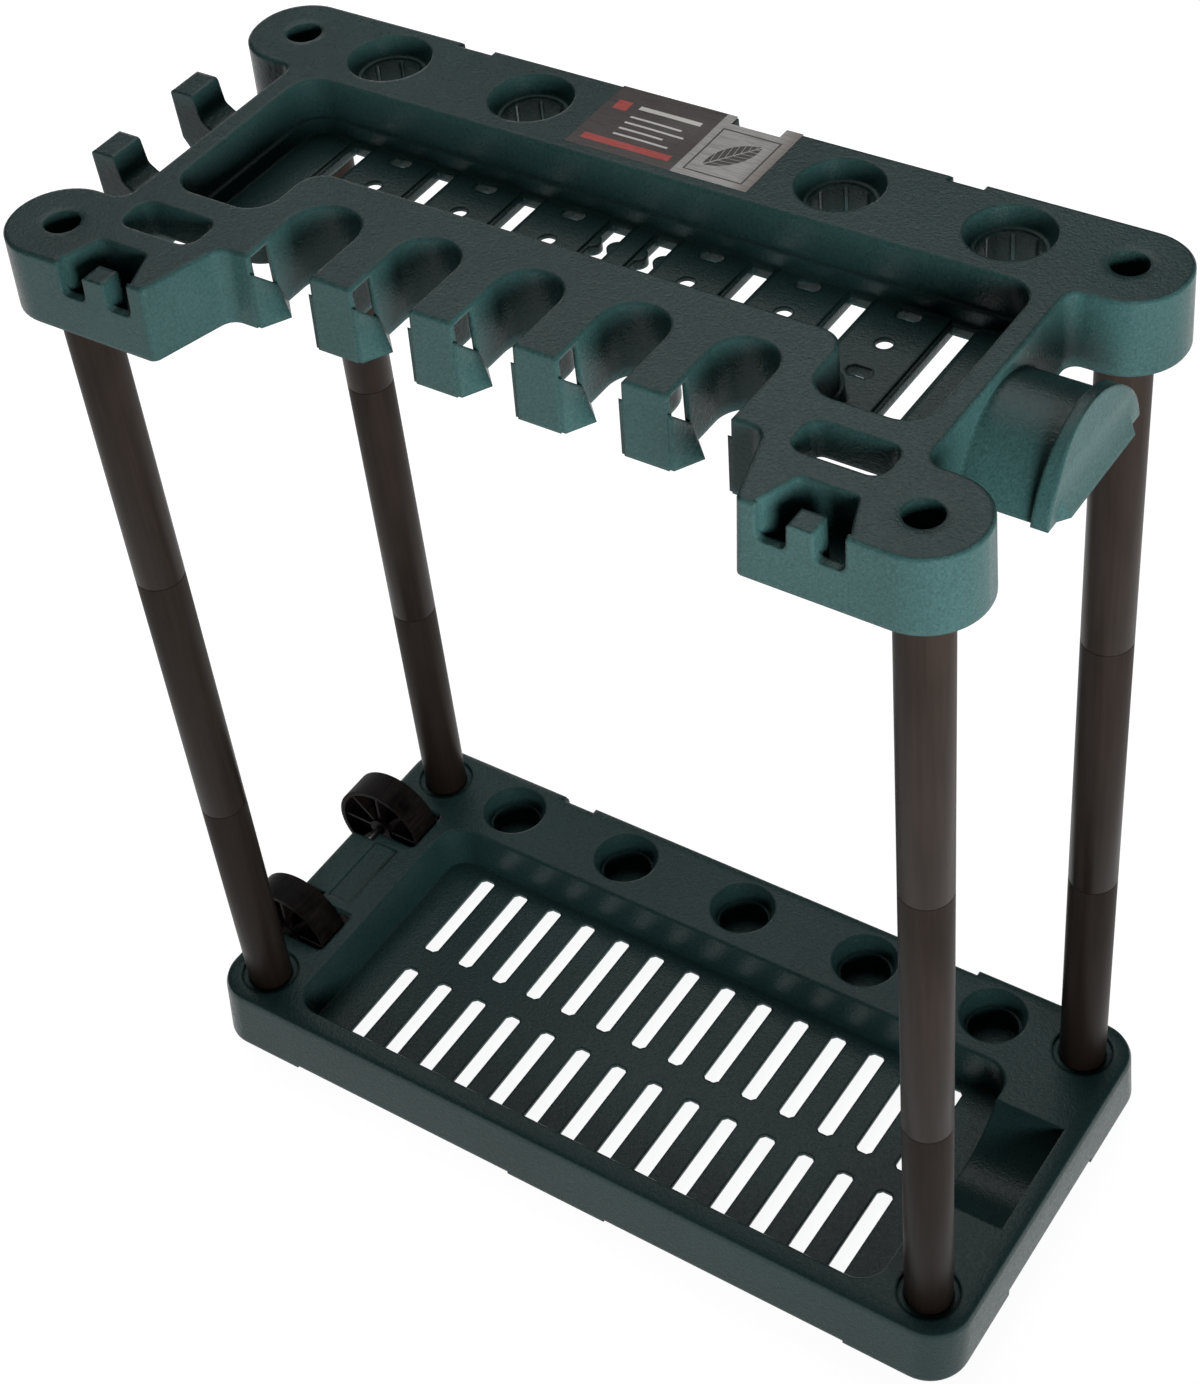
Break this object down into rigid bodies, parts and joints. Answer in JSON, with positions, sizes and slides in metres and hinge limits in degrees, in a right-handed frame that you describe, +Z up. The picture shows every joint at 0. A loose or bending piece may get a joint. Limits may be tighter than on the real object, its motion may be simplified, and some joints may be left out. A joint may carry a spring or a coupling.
{
  "type": "garden tool rack",
  "caption": "Freestanding garden tool rack: moulded top tray with open slots and handle holes, on sectional poles over a wheeled base tray with a slotted floor.",
  "frame": {"origin": "on the floor under the middle of the rack's overall length and depth", "axes": "+X along the rack, from the wheels towards the hose drum; -Y is the side with the open slots; +Z up"},
  "size_m": [0.6358, 0.2916, 0.6978],
  "materials": {
    "tray_green": "fine moulded grain, dark green",
    "pole_brown": "satin dark brown-black tube",
    "wheel_black": "matt black moulding",
    "axle_steel": "plain drawn rod",
    "cap_black": "matt black moulding"
  },
  "bodies": {
    "rack": {"base_tray": "tray_green", "top_tray": "tray_green", "axle": "axle_steel", "axle_cap_front": "cap_black", "axle_cap_back": "cap_black", "pole_front_left_lower": "pole_brown", "pole_front_left_middle": "pole_brown", "pole_front_left_upper": "pole_brown", "pole_front_right_lower": "pole_brown", "pole_front_right_middle": "pole_brown", "pole_front_right_upper": "pole_brown", "pole_back_left_lower": "pole_brown", "pole_back_left_middle": "pole_brown", "pole_back_left_upper": "pole_brown", "pole_back_right_lower": "pole_brown", "pole_back_right_middle": "pole_brown", "pole_back_right_upper": "pole_brown"},
    "front_wheel": {"wheel_front": "wheel_black"},
    "back_wheel": {"wheel_back": "wheel_black"}
  },
  "joints": [
    {"name": "front_wheel_spin", "type": "hinge", "parent": "rack", "child": "front_wheel", "pos_m": [-0.2804, -0.0585, 0.0382], "axis": [0, 1, 0], "continuous": true},
    {"name": "back_wheel_spin", "type": "hinge", "parent": "rack", "child": "back_wheel", "pos_m": [-0.2804, 0.0585, 0.0382], "axis": [0, 1, 0], "continuous": true}
  ]
}
